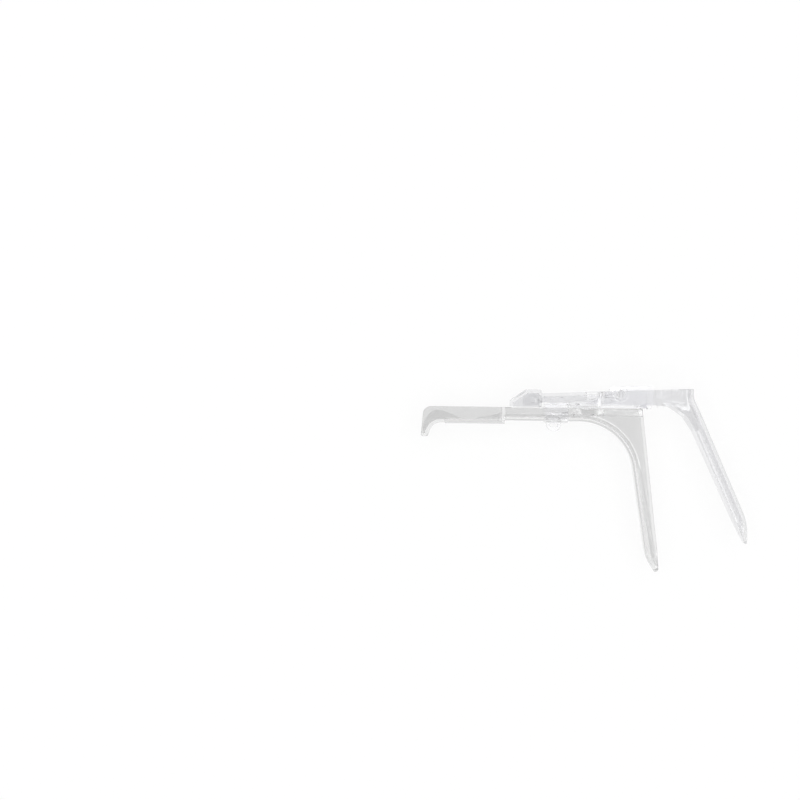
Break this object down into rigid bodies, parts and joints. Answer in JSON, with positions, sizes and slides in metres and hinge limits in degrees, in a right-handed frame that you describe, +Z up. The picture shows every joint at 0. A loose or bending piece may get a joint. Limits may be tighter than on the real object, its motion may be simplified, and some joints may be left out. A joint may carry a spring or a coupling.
{
  "type": "bivalve speculum",
  "caption": "Clear moulded bivalve speculum with trough-shaped blades at an angle to a channel handle, a sliding yoke with a finger loop, and a hinged upper blade with a thumb lever.",
  "frame": {"origin": "on the hinge axis between the yoke and the upper blade, on the plane of the yoke's side boss that the speculum rests on", "axes": "+X along the handle from its hook towards the mouth of the blades, +Y out of the mouth away from the blades' tips, +Z up, across the width of the blades"},
  "size_m": [0.1965, 0.1114, 0.038],
  "materials": {
    "clear_polystyrene": "clear, polished by the mould"
  },
  "bodies": {
    "lower_blade": {"lower_blade": "clear_polystyrene"},
    "yoke": {"yoke": "clear_polystyrene"},
    "upper_blade": {"upper_blade": "clear_polystyrene"}
  },
  "joints": [
    {"name": "yoke_slide", "type": "slide", "parent": "lower_blade", "child": "yoke", "axis": [1, 0, 0], "range_m": [-0.0197, 0]},
    {"name": "blade_hinge", "type": "hinge", "parent": "yoke", "child": "upper_blade", "pos_m": [0, 0, 0.019], "axis": [0, 0, 1], "range_deg": [-17.3, 0]}
  ]
}
